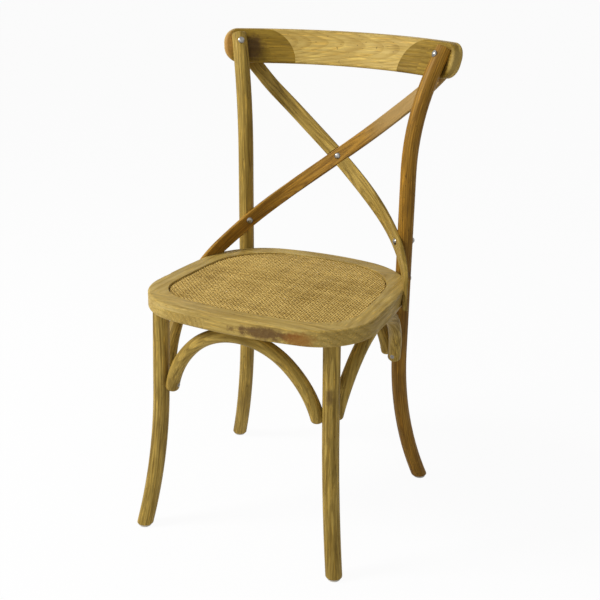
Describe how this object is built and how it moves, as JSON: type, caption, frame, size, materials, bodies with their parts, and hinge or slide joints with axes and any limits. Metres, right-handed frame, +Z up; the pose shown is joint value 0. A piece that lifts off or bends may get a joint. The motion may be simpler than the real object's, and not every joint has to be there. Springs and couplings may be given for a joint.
{
  "type": "dining chair",
  "caption": "Cross back dining chair with bent round wooden legs, a lapped wooden seat ring, a woven rattan seat, bent arches under the seat and a curved back rail with crossing strips.",
  "frame": {"origin": "on the floor, in the middle of the object's width and depth", "axes": "+Z up, the front of the chair faces -Y, +X to the right as seen from the front"},
  "size_m": [0.4864, 0.5182, 0.885],
  "materials": {
    "rail_wood": "waxed, yellow brown with cathedral grain",
    "strip_wood": "waxed, olive to orange brown",
    "leg_wood": "waxed, worn",
    "seat_wood": "greyish tan, weathered",
    "arch_wood": "waxed, olive brown",
    "plywood": "raw",
    "foam": "matt",
    "rattan": "woven, matt",
    "bolt_steel": "satin",
    "screw_steel": "zinc plated",
    "glide_plastic": "matt"
  },
  "bodies": {
    "root": {"crest_core": "rail_wood", "crest_block_right": "rail_wood", "crest_block_left": "rail_wood", "crest_end_right": "rail_wood", "crest_end_left": "rail_wood", "cross_strip_rear": "strip_wood", "cross_strip_front": "strip_wood", "front_leg_right": "leg_wood", "front_leg_left": "leg_wood", "rear_leg_right": "leg_wood", "rear_leg_left": "leg_wood", "seat_rail_front": "seat_wood", "seat_rail_rear": "seat_wood", "seat_rail_right": "seat_wood", "seat_rail_left": "seat_wood", "seat_board": "plywood", "seat_padding": "foam", "rattan_cover": "rattan", "arch_front": "arch_wood", "arch_left": "arch_wood", "arch_right": "arch_wood", "arch_rear": "arch_wood", "crest_bolts": "bolt_steel", "crest_nuts": "bolt_steel", "cross_post_bolts": "bolt_steel", "cross_post_nuts": "bolt_steel", "cross_centre_bolt": "bolt_steel", "cross_centre_nut": "bolt_steel", "seat_post_bolts": "bolt_steel", "strip_seat_screws": "screw_steel", "arch_leg_screws": "screw_steel", "arch_seat_screws": "screw_steel", "seat_board_screws": "screw_steel", "foot_glides": "glide_plastic"}
  },
  "joints": []
}
